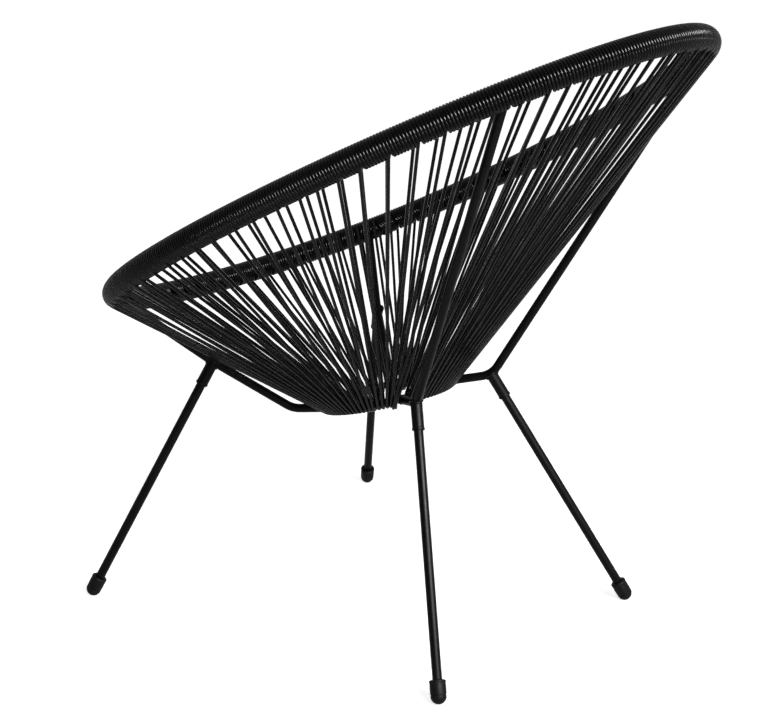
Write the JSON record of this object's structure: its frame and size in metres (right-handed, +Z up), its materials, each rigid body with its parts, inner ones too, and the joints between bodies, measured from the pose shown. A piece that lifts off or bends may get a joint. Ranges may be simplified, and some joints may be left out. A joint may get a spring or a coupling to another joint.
{
  "type": "cord lounge chair",
  "caption": "Round-backed lounge chair: a tilted egg-shaped rim wound with cord, strung to a hub ring, on bent rods and four screw-in legs.",
  "frame": {"origin": "on the floor, under the middle of the object's box", "axes": "+Z up, -Y is where the sitter faces, +X is the sitter's left"},
  "size_m": [0.7518, 0.8142, 0.8489],
  "materials": {
    "cord": "satin vinyl cord",
    "coated_steel": "satin powder coat",
    "foot_rubber": "matte",
    "zinc": "zinc plated"
  },
  "bodies": {
    "root": {"rim_tube": "coated_steel", "hub_ring": "coated_steel", "front_rod_left": "coated_steel", "front_socket_left": "coated_steel", "front_nut_left": "zinc", "front_stud_left": "zinc", "front_leg_left": "coated_steel", "front_cap_left": "foot_rubber", "rear_rod_left": "coated_steel", "rear_socket_left": "coated_steel", "rear_nut_left": "zinc", "rear_stud_left": "zinc", "rear_leg_left": "coated_steel", "rear_cap_left": "foot_rubber", "cord_panel_left_1": "cord", "cord_panel_left_2": "cord", "cord_panel_left_3": "cord", "cord_panel_left_4": "cord", "cord_panel_left_5": "cord", "cord_panel_left_6": "cord", "front_rod_right": "coated_steel", "front_socket_right": "coated_steel", "front_nut_right": "zinc", "front_stud_right": "zinc", "front_leg_right": "coated_steel", "front_cap_right": "foot_rubber", "rear_rod_right": "coated_steel", "rear_socket_right": "coated_steel", "rear_nut_right": "zinc", "rear_stud_right": "zinc", "rear_leg_right": "coated_steel", "rear_cap_right": "foot_rubber", "cord_panel_right_1": "cord", "cord_panel_right_2": "cord", "cord_panel_right_3": "cord", "cord_panel_right_4": "cord", "cord_panel_right_5": "cord", "cord_panel_right_6": "cord"}
  },
  "joints": []
}
